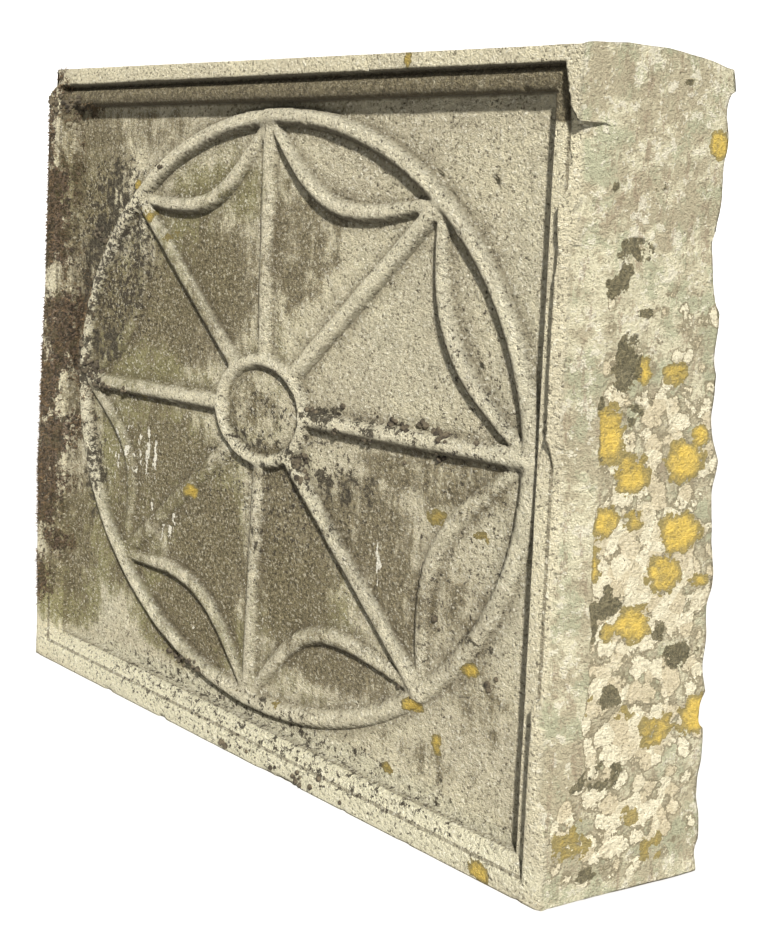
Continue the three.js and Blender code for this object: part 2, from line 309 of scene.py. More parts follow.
def frame_section():
    """The lines of the frame's section: share of the fillet, inset beyond it, share of the roll,
    depth, and depth where the quirk is worn and filled to a slope."""
    lines = [(share, 0, 0, 0, 0) for share in FILLET_SHARES]
    lines += [(1, 0, 0, 0.6, 0.6), (1, 1, 0, QUIRK_DEPTH, 1.5)]
    for step in range(ROLL_STEPS + 1):
        turn = math.pi * step / ROLL_STEPS
        rolled = (1 - math.cos(turn)) / 2
        depth = QUIRK_DEPTH - (QUIRK_DEPTH - ROLL_SET) * math.sin(turn)
        worn = mix(1.5, ROLL_SET + 0.5, min(1, (2 + 12 * rolled) / 7))
        lines.append((1, QUIRK_WIDTH, rolled, depth, min(depth, worn) if rolled < 0.5 else depth))
    lines.append((1, QUIRK_WIDTH + 1, 1, FIELD_DEPTH, FIELD_DEPTH))
    return np.array(lines).T


def grid_count(length, frame_lines):
    """Steps across the field, so that the whole grid divides by three."""
    steps = round(length / FIELD_STEP)
    while (steps + 2 * (frame_lines - 1)) % 3:
        steps += 1
    return steps


def front_grid():
    """The lines of the front: x and z of each crossing, how many lines in from the edge, and depth."""
    share, inset, rolled, depth, worn_depth = frame_section()
    lines = len(share)
    left = share * LEFT_FILLET + inset + rolled * LEFT_ROLL
    right_inset = inset + rolled * RIGHT_ROLL
    foot = [share * fillet + inset + rolled * FOOT_ROLL for fillet in FOOT_FILLET]
    top = [STONE_HEIGHT - share * fillet - inset - rolled * TOP_ROLL for fillet in TOP_FILLET]
    right_inner = FOOT_WIDTH - RIGHT_FILLET
    across = grid_count(right_inner - right_inset[-1] - left[-1], lines)
    upward = grid_count(top[0][-1] - foot[0][-1], lines)
    heights = [np.concatenate([low, np.linspace(low[-1], high[-1], upward + 1)[1:-1], high[::-1]])
               for low, high in zip(foot, top)]
    rows = []
    for height in heights[1]:
        inner = right_inner - FILLET_LEAN * height / STONE_HEIGHT
        right = mix(right_at(height, 0), inner, share) - right_inset
        field = np.linspace(left[-1], right[-1], across + 1)[1:-1]
        rows.append(np.concatenate([left, field, right[::-1]]))
    x = np.array(rows)
    slope = np.clip((x - LEFT_FILLET) / (right_inner - LEFT_FILLET), 0, 1)
    z = mix(heights[0][:, None], heights[1][:, None], slope)
    column = np.arange(x.shape[1])
    row = np.arange(x.shape[0])[:, None]
    worn_line = np.minimum(column, row)
    sharp_line = np.minimum(x.shape[1] - 1 - column, x.shape[0] - 1 - row)
    line = np.minimum(np.minimum(worn_line, sharp_line), lines - 1)
    section = np.where(worn_line < sharp_line, worn_depth[line], depth[line])
    on_right = (x.shape[1] - 1 - column < np.minimum(worn_line, x.shape[0] - 1 - row)) & (line > ARRIS)
    return x, z, line, np.where(on_right, np.maximum(section, RIGHT_ROLL_SET), section)


def broken_edge_depth(x, z):
    """The long break that took the outer edge of the frame's right side."""
    heights, starts, lips = np.array(BREAK_ROWS[::-1]).T
    top = heights[-1]
    inner = FOOT_WIDTH - RIGHT_FILLET - FILLET_LEAN * z / STONE_HEIGHT
    edge = right_at(z, 0)
    share = np.clip((x - inner) / (edge - inner), 0, 1)
    # The break's outer part stops lower than its inner part, in a scoop.
    drop = BREAK_RISE * np.interp(share, [0, 0.5, 1], [0, 0.75, 1])
    row = np.maximum(z, (z + drop * (1 - top / BREAK_SCOOP)) / (1 - drop / BREAK_SCOOP))
    ragged = 1.2 * waver(z * 2.3, 6) * smooth(150, 170, z) * (1 - smooth(285, 310, z))
    start = inner + np.interp(row, heights, starts) + ragged
    lip = np.interp(row, heights, lips)
    fade = np.clip((row - BREAK_FOOT) / 60 + 0.05, 0, 1)
    side = BREAK_SIDE * fade + 2 * waver(row, 3)
    share = (x - start) / (edge - start)
    halfway = mix(lip, side, 0.3)
    outer = np.interp(share, [0, 0.5, 1], [0, 0, 1])
    cut = np.where(share < 0.5, mix(lip, halfway, share * 2), mix(halfway, side, outer))
    inside = (1 - smooth(top - 2, top + 3, row)) * smooth(BREAK_FOOT - 4, BREAK_FOOT + 4, row)
    return np.where(share > 0, cut * fade * inside, 0)


# Pits in the field: middle, radius and depth.
PITS = ((567, 510, 4.5, 4), (514, 514, 3, 3), (528, 498, 2.5, 2), (547, 399, 3, 2.5), (562, 374, 4, 3),
        (557, 424, 2.5, 2), (496, 387, 2.5, 2), (473, 570, 3, 2), (600, 575, 3, 2.5), (542, 473, 2, 2),
        (405, 336, 2.5, 2), (432, 524, 2, 1.5), (372, 552, 2, 1.5), (583, 343, 2.5, 2))


def front_depth(x, z, base, line, wheel):
    """How far behind the front plane each point of the grid lies."""
    flat = line == line.max()
    stone = np.stack([x, x * 0, z], 1)
    nearest, _, height = relief(np.stack([x, z], 1), wheel)
    wear = 1 - 0.10 * np.clip(lumps(stone, 34, 5) + 0.3, 0, 1)
    inner = ((x - HUB_X) / HUB_HALF_WIDTH) ** 2 + ((z - HUB_Z) / HUB_HALF_HEIGHT) ** 2
    disc = HUB_DISC_RISE * (1 - smooth(0.35, 1.05, inner))
    rise = np.maximum(height * wear, disc)
    depth = base - np.where(flat, rise, 0)
    depth = depth + np.where(flat, 0.45, 0.25) * roughness(stone, 46, 11) + 0.16 * lumps(stone, 7, 17)
    for pit_x, pit_z, radius, sunk in PITS:
        away = np.hypot(x - pit_x, z - pit_z) / radius
        depth += sunk * (1 - smooth(0.55, 1.0, away))
    depth = np.maximum(depth, broken_edge_depth(x, z))
    left_wear = LEFT_WEAR * (1 + 0.25 * waver(z, 5))
    worn = np.interp(x / left_wear, [0, 0.3, 1], [1.2, 0.35, 0]) * left_wear
    depth = np.maximum(depth, worn)
    reach = CHIP_WIDTH * np.clip((z - STONE_HEIGHT + TOP_FILLET[0]) / TOP_FILLET[0], 0.05, 1)
    chip = CHIP_WIDTH * (1 - smooth(0.2, 1.0, np.abs(x - CHIP_X) / reach))
    depth = np.where(z > STONE_HEIGHT - TOP_FILLET[0], np.maximum(depth, chip), depth)
    # The arrises are worn here and there.
    edge_bite = np.clip(roughness(stone, 22, 31) - 0.55, 0, 1) * 3.5
    arris = (line <= 1) | (line == ARRIS)
    depth = depth + np.where(arris, edge_bite + 0.5, 0)
    return np.maximum(depth, 0), nearest, height


def snap_to_feet(x, z, line, wheel):
    """Moves the crossings nearest to a roll's foot onto it, so that the foot is one clean line."""
    points = np.stack([x, z], 1)
    flat = line == line.max()
    step = 0.05
    _, margin, _ = relief(points, wheel)
    _, margin_x, _ = relief(points + (step, 0), wheel)
    _, margin_z, _ = relief(points + (0, step), wheel)
    slope = np.stack([margin_x - margin, margin_z - margin], 1) / step
    steep = np.linalg.norm(slope, axis=1)
    slope /= np.maximum(steep, 1e-6)[:, None]
    reach = 0.5 * FIELD_STEP * np.max(np.abs(slope), axis=1)
    foot = flat & (np.abs(margin) < reach) & (np.abs(steep - 1) < 0.3)
    points[foot] -= (margin[:, None] * slope)[foot]
    return points[:, 0], points[:, 1], foot


# The rings of the sides: shares of the way from the front's edge to the back.
SIDE_DEPTHS = (0.035, 0.08, 0.13, 0.18, 0.225, 0.27, 0.32, 0.37, 0.42, 0.47, 0.52, 0.57, 0.62,
               0.67, 0.72, 0.77, 0.82, 0.87, 0.91, 0.945, 0.975, 1.0)
# The back's coarse grid lies this far in from its edges.
BACK_INSET = 9


def side_push(x, y, z, out_z):
    """How far the rough side stands out of the plain outline, in millimetres."""
    stone = np.stack([x, y, z], 1)
    push = 0.9 * roughness(stone, 38, 41) + 0.5 * lumps(stone, 13, 47)
    back = smooth(0.55, 1.0, y / STONE_DEPTH)
    push = push - back * np.clip(2.6 * lumps(stone, 30, 53) - 0.4, 0, 2.5)
    push = push * smooth(0.0, 0.06, y / STONE_DEPTH)
    return np.where(out_z < -0.5, -np.clip(push + 1, 0, 2), push)


def build_stone():
    """The whole stone as one closed mesh, with what the finishes need to know at each point."""
    wheel = rolls()
    x, z, line, base = front_grid()
    rows, columns = x.shape
    x, z, line, base = (a.ravel().astype(float) for a in (x, z, line, base))
    x, z, foot = snap_to_feet(x, z, line, wheel)
    depth, nearest, height = front_depth(x, z, base, line, wheel)
    height = np.where(line == line.max(), height, 0)
    placed_x, placed_z = at_depth(x, z, depth)
    places = [np.stack([placed_x, depth, placed_z], 1)]
    normals_out = [np.tile((0.0, -1.0, 0.0), (len(x), 1))]
    index = np.arange(rows * columns).reshape(rows, columns)
    loop = np.concatenate([index[0, :], index[1:, -1], index[-1, -2::-1], index[-2:0:-1, 0]])
    faces = []
    sharp = []

    # The front: each square is cut along the diagonal that follows a roll's foot.
    a, b = index[:-1, :-1].ravel(), index[:-1, 1:].ravel()
    c, d = index[1:, 1:].ravel(), index[1:, :-1].ravel()
    along = foot[a] & foot[c]
    faces.append(np.where(along[:, None], np.stack([a, b, c], 1), np.stack([a, b, d], 1)))
    faces.append(np.where(along[:, None], np.stack([a, c, d], 1), np.stack([b, c, d], 1)))
    for first, second in ((a, b), (b, c), (c, d), (d, a), (a, c), (b, d)):
        crease = np.isin(line[first], CREASES) & (line[first] == line[second])
        crease &= line[first] < line.max()
        both = (foot[first] & foot[second]) | crease
        sharp.append(np.stack([first, second], 1)[both])

    # The sides, from the front's edge to the back.
    front_y = depth[loop]
    out_x = np.where(x[loop] > FOOT_WIDTH / 2, 1.0, -1.0)
    on_upright = np.zeros(len(loop), bool)
    on_upright[columns:columns + rows - 2] = True
    on_upright[2 * columns + rows - 2:] = True
    top = np.zeros(len(loop), bool)
    top[columns + rows - 1:2 * columns + rows - 2] = True
    push_x = np.where(on_upright, out_x, 0.0)
    push_z = np.where(on_upright, 0.0, np.where(top, 1.0, -1.0))
    ring = loop
    rear_y = STONE_DEPTH - rear_shell(z[loop]) * smooth(FOOT_WIDTH - 30, TOP_WIDTH, x[loop])
    for share in SIDE_DEPTHS:
        y = mix(front_y, rear_y, share)
        side_x, side_z = at_depth(x[loop], z[loop], y)
        push = side_push(side_x, y, side_z, push_z)
        side_x = side_x + push * push_x
        side_z = np.maximum(side_z + push * push_z, 0)
        if share == 1.0:
            y = y - np.clip(1.5 * lumps(np.stack([side_x, y, side_z], 1), 19, 61), 0, 2)
        start = sum(len(p) for p in places)
        places.append(np.stack([side_x, y, side_z], 1))
        normals_out.append(np.stack([push_x, push_x * 0, push_z], 1))
        next_ring = start + np.arange(len(loop))
        left, right = ring, np.roll(ring, -1)
        back_left, back_right = next_ring, np.roll(next_ring, -1)
        faces.append(np.stack([left, back_left, back_right], 1))
        faces.append(np.stack([left, back_right, right], 1))
        ring = next_ring

    # The back: a strip that leaves out two edges of three, then a coarse grid.
    coarse_rows, coarse_columns = (rows - 1) // 3 + 1, (columns - 1) // 3 + 1
    third_x, third_z = (a.reshape(rows, columns)[::3, ::3].ravel() for a in (x, z))
    grid_x = BACK_INSET + third_x * (1 - 2 * BACK_INSET / FOOT_WIDTH)
    grid_z = BACK_INSET + third_z * (1 - 2 * BACK_INSET / STONE_HEIGHT)
    back_x, back_z = at_depth(grid_x, grid_z, np.full(grid_x.size, STONE_DEPTH))
    back_x = back_x + SIDE_SPLAY * np.clip(back_x / FOOT_WIDTH, 0, 1) * (1 - near_right(grid_x))
    stone = np.stack([back_x, np.full(len(back_x), STONE_DEPTH), back_z], 1)
    hollow = np.clip(1.2 + 1.3 * roughness(stone, 44, 71) + 0.7 * lumps(stone, 12, 77), 0, 5)
    hollow = hollow + rear_shell(back_z) * smooth(34, 9, right_at(back_z, 1) - back_x)
    start = sum(len(p) for p in places)
    places.append(np.stack([back_x, STONE_DEPTH - hollow, back_z], 1))
    normals_out.append(np.tile((0.0, 1.0, 0.0), (len(back_x), 1)))
    coarse = start + np.arange(coarse_rows * coarse_columns).reshape(coarse_rows, coarse_columns)
    rim = np.concatenate([coarse[0, :], coarse[1:, -1], coarse[-1, -2::-1], coarse[-2:0:-1, 0]])
    fine = np.append(ring, ring[0])
    rim = np.append(rim, rim[0])
    f0, f1, f2, f3 = fine[0:-1:3], fine[1::3], fine[2::3], fine[3::3]
    c0, c1 = rim[:-1], rim[1:]
    for corners in ((f0, c0, f1), (f1, c0, f2), (f2, c0, c1), (f2, c1, f3)):
        faces.append(np.stack(corners, 1))
    a, b = coarse[:-1, :-1].ravel(), coarse[:-1, 1:].ravel()
    c, d = coarse[1:, 1:].ravel(), coarse[1:, :-1].ravel()
    faces.append(np.stack([a, c, b], 1))
    faces.append(np.stack([a, d, c], 1))

    places = np.concatenate(places)
    faces = np.concatenate(faces)
    outward = np.concatenate(normals_out)

    def front_only(values, rest):
        return np.concatenate([values, np.full(len(places) - len(values), rest)])

    facts = {
        "nearest": front_only(nearest, FAR),
        "height": front_only(height, 0.0),
        "line": front_only(line, -1.0),
        "outward": outward,
    }
    return places, faces, np.concatenate(sharp), facts


def make_mesh(name, places, faces, sharp):
    """A mesh object at the origin from millimetre places, triangles and sharp edges."""
    metres = (places - (MIDDLE_X, MIDDLE_Y, 0)) * MM
    mesh = bpy.data.meshes.new(name)
    mesh.vertices.add(len(metres))
    mesh.vertices.foreach_set("co", metres.ravel())
    mesh.loops.add(faces.size)
    mesh.loops.foreach_set("vertex_index", faces.ravel().astype(np.int32))
    mesh.polygons.add(len(faces))
    mesh.polygons.foreach_set("loop_start", np.arange(0, faces.size, 3, dtype=np.int32))
    mesh.update(calc_edges=True)
    mesh.shade_smooth()
    ends = np.empty(2 * len(mesh.edges), dtype=np.int32)
    mesh.edges.foreach_get("vertices", ends)
    keys = np.sort(ends.reshape(-1, 2), axis=1) @ (len(metres), 1)
    wanted = np.unique(np.sort(sharp, axis=1) @ (len(metres), 1))
    crease = mesh.attributes.new("sharp_edge", "BOOLEAN", "EDGE")
    crease.data.foreach_set("value", np.isin(keys, wanted))
    mesh.validate()
    thing = bpy.data.objects.new(name, mesh)
    bpy.context.scene.collection.objects.link(thing)
    return thing


def give(thing, name, values):
    """Stores one number at each point of a mesh."""
    attribute = thing.data.attributes.new(name, "FLOAT", "POINT")
    attribute.data.foreach_set("value", np.clip(values, 0, 1).astype(np.float32))


def patches(across, up, places):
    """Soft patches, 1 in the middle of each and 0 at its edge: middle, half sizes and strength."""
    total = np.zeros(len(across))
    for middle_x, middle_z, half_x, half_z, strength in places:
        away = ((across - middle_x) / half_x) ** 2 + ((up - middle_z) / half_z) ** 2
        total = np.maximum(total, strength * np.clip(1.25 - away, 0, 1))
    return total


# Where the stone has weathered, seen from the front: middle, half sizes and strength.
GRIME = ((70, 520, 60, 60, 0.8), (45, 400, 26, 190, 0.7), (150, 545, 90, 26, 0.5),
         (258, 410, 63, 67, 0.9), (224, 366, 58, 37, 0.8), (355, 448, 47, 59, 0.75),
         (396, 463, 26, 37, 0.5), (162, 387, 78, 57, 0.75), (82, 350, 38, 60, 0.7),
         (68, 448, 38, 69, 0.8), (125, 480, 49, 29, 0.4), (187, 228, 85, 67, 0.7), (258, 158, 60, 83, 1),
         (372, 185, 60, 77, 1), (342, 257, 38, 26, 0.8), (453, 229, 67, 49, 0.8),
         (500, 183, 53, 48, 0.75), (534, 285, 89, 30, 0.6), (426, 109, 82, 29, 0.8),
         (233, 90, 74, 47, 0.8), (552, 181, 44, 46, 0.5), (580, 127, 38, 38, 0.45),
         (312, 310, 40, 28, 0.4), (126, 147, 50, 60, 0.6), (48, 130, 40, 93, 0.7),
         (530, 63, 61, 16, 0.3), (482, 283, 43, 16, 0.8))
OLIVE = ((171, 235, 86, 58, 1), (225, 93, 90, 47, 1), (249, 193, 58, 55, 0.8), (132, 356, 81, 68, 0.95),
         (221, 421, 58, 55, 0.6), (93, 140, 86, 61, 0.8), (274, 495, 82, 26, 0.3), (42, 75, 55, 42, 0.8),
         (386, 154, 73, 51, 0.4), (58, 487, 52, 59, 0.6))
PALE = ((340, 20, 380, 30, 1), (28, 470, 7, 40, 0.7), (26, 300, 7, 30, 0.6), (66, 86, 80, 56, 0.6),
        (119, 378, 60, 60, 0.2), (600, 333, 40, 260, 0.45), (491, 403, 90, 120, 0.4),
        (570, 543, 90, 60, 0.15), (112, 228, 9, 12, 1), (215, 343, 10, 12, 1))
MOSS = ((22, 400, 26, 220, 0.95), (-1, 516, 26, 61, 0.8), (25, 425, 25, 61, 0.9), (11, 342, 26, 62, 0.9),
        (8, 237, 34, 73, 1), (19, 165, 37, 63, 0.9), (53, 377, 21, 40, 0.6), (7, 88, 23, 32, 0.6),
        (33, 566, 46, 14, 0.6), (6, 434, 15, 31, 0.8), (42, 274, 32, 41, 0.8))
CRUST = ((461, 314, 72, 9, 0.6), (401, 314, 26, 12, 0.8), (60, 400, 15, 60, 0.8), (74, 445, 16, 36, 0.8),
         (96, 475, 18, 26, 0.8), (70, 300, 26, 14, 0.7), (112, 505, 20, 14, 0.6),
         (426, 260, 62, 24, 0.5), (363, 270, 16, 22, 0.7), (88, 337, 40, 24, 0.8),
         (77, 214, 20, 60, 0.7), (97, 485, 26, 40, 0.7), (361, 433, 30, 46, 0.2), (311, 278, 30, 8, 0.5),
         (570, 167, 40, 10, 0.5), (340, 38, 320, 26, 0.35))
YELLOW = ((132, 495, 7, 6, 1), (233, 217, 11, 9, 1), (156, 467, 12, 9, 0.8), (572, 146, 9, 6, 1),
          (518, 103, 11, 8, 1), (543, 79, 7, 9, 0.8), (531, 254, 12, 8, 0.6), (494, 42, 9, 7, 0.8),
          (604, 7, 12, 9, 1), (574, 249, 10, 6, 0.6), (491, 600, 5, 7, 0.9), (363, 55, 6, 5, 0.6),
          (190, 449, 12, 8, 0.5), (315, 48, 8, 5, 0.4), (159, 291, 8, 8, 0.5))
FLECK = ((138, 239, 73, 49, 1), (205, 184, 76, 47, 0.9), (370, 219, 75, 51, 0.8), (99, 352, 59, 59, 0.7),
         (252, 396, 56, 63, 0.6), (443, 202, 68, 49, 0.8), (255, 101, 72, 47, 0.7),
         (427, 96, 70, 25, 0.6), (546, 116, 50, 46, 0.5), (312, 314, 40, 26, 0.5),
         (395, 16, 245, 52, 0.5))
SPECK = ((330, 25, 340, 30, 0.5), (100, 430, 90, 120, 0.7), (520, 480, 120, 120, 0.3),
         (350, 250, 150, 120, 0.5), (560, 280, 70, 250, 0.4))
CRUMB = ((390, 317, 5, 3, 1), (426, 326, 5, 4, 1), (462, 322, 5, 3, 1), (478, 320, 5, 3, 1),
         (496, 320, 6, 3, 1), (511, 324, 5, 4, 1), (525, 321, 5, 3, 1), (535, 319, 5, 4, 1),
         (568, 320, 4, 3, 0.9), (581, 316, 4, 2, 0.6), (491, 292, 5, 3, 0.7), (510, 293, 6, 3, 0.7),
         (531, 301, 6, 3, 0.7), (427, 305, 7, 2, 0.5), (453, 303, 7, 2, 0.5), (377, 271, 9, 8, 0.8),
         (383, 257, 6, 7, 0.7), (64, 310, 25, 8, 0.9), (89, 297, 20, 5, 0.7), (136, 296, 15, 4, 0.6),
         (53, 327, 14, 14, 0.6), (73, 444, 10, 10, 0.7), (57, 378, 11, 12, 0.6), (23, 571, 36, 8, 0.7),
         (167, 514, 15, 6, 0.4), (508, 113, 15, 5, 0.4), (231, 57, 45, 8, 0.35), (320, 9, 54, 7, 0.3),
         (424, 9, 59, 7, 0.3), (534, 177, 14, 11, 0.3), (596, 140, 13, 10, 0.3))

# The same on the right side: middle and half sizes in depth and height, and strength.
SIDE_YELLOW = ((119, 546, 10, 12, 1), (67, 384, 9, 12, 0.9), (95, 381, 14, 9, 0.8), (38, 340, 17, 26, 1),
               (59, 310, 18, 16, 1), (104, 317, 20, 18, 1), (117, 335, 10, 10, 0.9),
               (40, 277, 14, 13, 1), (65, 277, 8, 10, 0.8), (25, 247, 14, 20, 1), (104, 264, 21, 18, 1),
               (92, 236, 16, 18, 1), (69, 200, 20, 16, 1), (123, 227, 9, 6, 0.8), (46, 197, 9, 8, 0.8),
               (18, 152, 18, 23, 0.7), (93, 119, 18, 16, 0.8), (128, 125, 18, 18, 1),
               (24, 46, 17, 18, 0.6), (97, 28, 17, 12, 0.6), (62, 135, 10, 6, 0.6), (74, 56, 10, 9, 0.5),
               (16, 431, 6, 5, 0.6), (19, 542, 5, 4, 0.6))
SIDE_CREAM = ((70, 330, 80, 70, 0.7), (70, 230, 80, 80, 1), (70, 140, 80, 60, 0.9),
              (60, 60, 80, 50, 0.7), (25, 410, 20, 40, 0.5), (100, 420, 40, 30, 0.3))
SIDE_DARK = ((8, 329, 14, 17, 1), (19, 283, 14, 18, 1), (51, 389, 13, 22, 0.9), (29, 208, 14, 20, 1),
             (46, 218, 11, 14, 0.9), (39, 444, 11, 10, 1), (30, 511, 7, 5, 1), (93, 192, 7, 10, 1),
             (56, 353, 10, 8, 0.7), (14, 361, 12, 7, 0.8), (47, 455, 5, 5, 1), (65, 425, 4, 4, 1),
             (52, 468, 17, 10, 0.5), (27, 322, 8, 6, 0.8), (52, 149, 10, 11, 1), (24, 96, 14, 14, 0.7),
             (48, 91, 17, 12, 0.6), (110, 172, 19, 10, 0.8), (40, 20, 12, 7, 0.7), (5, 217, 10, 17, 0.8),
             (67, 515, 12, 6, 0.3), (90, 588, 5, 4, 0.8), (31, 363, 7, 7, 0.9))


def weather_and_painted_light(places, facts):
    """How much of each kind of weathering, and of painted shade and painted highlight, lies on each
    point of the stone.
    """
    x, y, z = places.T
    out_x, out_y, _ = facts["outward"].T
    front = out_y < -0.5
    right = out_x > 0.5

    def on_front(spots):
        return np.where(front, patches(x, z, spots), 0)

    def on_side(spots):
        return np.where(right, patches(y, z, spots), 0)

    ragged = np.clip(0.85 + 1.1 * roughness(places, 40, 91), 0, 1.2)
    marks = {
        "grime": on_front(GRIME),
        "olive": on_front(OLIVE),
        "pale": on_front(PALE),
        "moss": on_front(MOSS) * ragged,
        "crust": on_front(CRUST),
        "yellow": np.where(front, on_front(YELLOW), on_side(SIDE_YELLOW)),
        "dark": on_side(SIDE_DARK),
        "cream": on_side(SIDE_CREAM),
        "fleck": np.where(front, on_front(FLECK), 0.25),
        "speck": np.where(front, 0.25 + on_front(SPECK), 0.4),
        "crumb": on_front(CRUMB) ** 2,
        "side": ~front * (1 - 0.55 * (out_x < -0.5)) * np.where(out_y > 0.5, 0.35, 1),
    }
    # The break down the front's right edge looks like the side.
    broken = front & (x > FOOT_WIDTH - BREAK_BARE) & (y > 2.5)
    marks["side"] = np.where(broken, 1, marks["side"])
    # Dirt lies thin over the field; at the foot of each roll, in the quirk and along the frame's creases
    # the darkening is dirt and painted shade.
    nearest = facts["nearest"]
    foot_dirt_and_shade = np.maximum(1 - smooth(0.0, 0.45, np.abs(nearest - 1.1)),
                           0.55 * (1 - smooth(1.2, 2.6, nearest)))
    line = facts["line"]
    quirk = np.isin(line, CREASES[1:]) * 0.9
    marks["crest"] = np.clip(facts["height"] / RELIEF_RISE, 0, 1)
    field_dirt_and_shade = (0.56 + 0.4 * foot_dirt_and_shade * (nearest < FAR / 2)) * (1 - 0.35 * marks["crest"])
    marks["hollow"] = np.where(front, np.where(line == line.max(), field_dirt_and_shade, quirk), 0)
    # The left half of the wheel's field is dark all over.
    middle = ((x - WHEEL_X) / WHEEL_HALF_WIDTH) ** 2 + ((z - WHEEL_Z) / WHEEL_HALF_HEIGHT) ** 2
    stained = front * (1 - smooth(0.8, 1.1, middle)) * (1 - smooth(280, 470, x - 0.3 * (WHEEL_Z - z)))
    marks["grime"] = np.clip(marks["grime"] + 0.12 * stained, 0, 1)
    marks["olive"] = np.clip(marks["olive"] + 0.3 * stained, 0, 1)
    # The crests of the rolls stay clean.
    clean = 1 - 0.85 * marks["crest"]
    marks["grime"] = marks["grime"] * clean
    marks["olive"] = marks["olive"] * clean
    # The frame's top roll is painted dark, more so toward the left: partly stain and partly painted
    # shade below the fillet.
    top_roll = front & (line > ARRIS + 1) & (line < line.max()) & (z > STONE_HEIGHT - 50)
    marks["grime"] = np.where(top_roll, np.clip(1.3 - x / 1200, 0, 1.2), marks["grime"])
    # Painted shade on the undersides and left flanks of the relief, which face away from the key light,
    # and a painted highlight on the rolls' flanks that face it; the frame's top roll gets some painted
    # shade too.
    facing = facts["facing"]
    lean = 0.75 * facing[:, 0] + 0.85 * facing[:, 2]
    marks["under"] = np.where(front, np.maximum(np.clip(-lean - 0.08, 0, 1), 0.35 * top_roll), 0)
    marks["painted_lit_flank"] = np.where(front & (marks["crest"] > 0.02), np.clip(lean - 0.05, 0, 1), 0)
    return marks


# The finishes

# The size of a lobe of the cream lichen, and how much every finish shines.
LOBE = 14
DULL = 0.25


class Tone:
    """A value in a finish; sums and products of tones add the nodes that work them out."""

    def __init__(self, finish, socket):
        self.finish = finish
        self.socket = socket

    def _with(self, operation, first, second):
        return self.finish.add("ShaderNodeMath", {"operation": operation}, {0: first, 1: second})

    def __add__(self, other):
        return self._with("ADD", self, other)

    def __sub__(self, other):
        return self._with("SUBTRACT", self, other)

    def __rsub__(self, other):
        return self._with("SUBTRACT", other, self)

    def __mul__(self, other):
        return self._with("MULTIPLY", self, other)

    __radd__ = __add__
    __rmul__ = __mul__


class Finish:
    """A material and the few kinds of node that it is made from."""

    def __init__(self, name):
        self.material = bpy.data.materials.new(name)
        self.material.use_nodes = True
        self.tree = self.material.node_tree
        self.tree.nodes.clear()
        self.place = self.add("ShaderNodeTexCoord", out="Object")

    def add(self, kind, settings=None, values=None, out=0):
        node = self.tree.nodes.new(kind)
        for name, setting in (settings or {}).items():
            setattr(node, name, setting)
        for name, value in (values or {}).items():
            if isinstance(value, Tone):
                self.tree.links.new(value.socket, node.inputs[name])
            else:
                node.inputs[name].default_value = value
        return Tone(self, node.outputs[out]) if node.outputs else None

    def noise(self, size, detail=2, rough=0.5, stretch=None):
        """Cloudy noise, one cloud to about every size millimetres."""
        place = self.place
        if stretch:
            place = self.add("ShaderNodeMapping", None, {"Vector": place, "Scale": stretch})
        return self.add("ShaderNodeTexNoise", {"noise_dimensions": "3D"},
                        {"Vector": place, "Scale": 1000 / size, "Detail": detail, "Roughness": rough})

    def cells(self, size, out="Distance"):
        """Rounded cells about size millimetres across: the way from each one's middle, or its colour."""
        return self.add("ShaderNodeTexVoronoi", None, {"Vector": self.place, "Scale": 1000 / size}, out)

    def per_cell(self, size):
        """A random number for each cell."""
        return self.add("ShaderNodeSeparateColor", None, {0: self.cells(size, "Color")})

    def mark(self, name):
        return self.add("ShaderNodeAttribute", {"attribute_name": name}, out="Fac")

    def band(self, value, low, high, bottom=0.0, top=1.0):
        """Runs smoothly from bottom to top while value goes from low to high."""
        return self.add("ShaderNodeMapRange", {"interpolation_type": "SMOOTHSTEP"},
                        {0: value, 1: low, 2: high, 3: bottom, 4: top})

    def blend(self, share, under, over):
        """One colour laid over another."""
        return self.add("ShaderNodeMix", {"data_type": "RGBA"}, {0: share, 6: under, 7: over}, out=2)

    def surface(self, colour, rough, height, strength, reach):
        """A dull shader, with bumps up to reach metres high, as the material's surface."""
        bump = self.add("ShaderNodeBump", None,
                        {"Height": height, "Strength": strength, "Distance": reach})
        shader = self.add("ShaderNodeBsdfPrincipled", None,
                          {"Base Color": colour, "Roughness": rough, "Normal": bump,
                           "Specular IOR Level": DULL})
        self.add("ShaderNodeOutputMaterial", None, {"Surface": shader})
        return self.material


def rgb(red, green, blue):
    return (red, green, blue, 1.0)


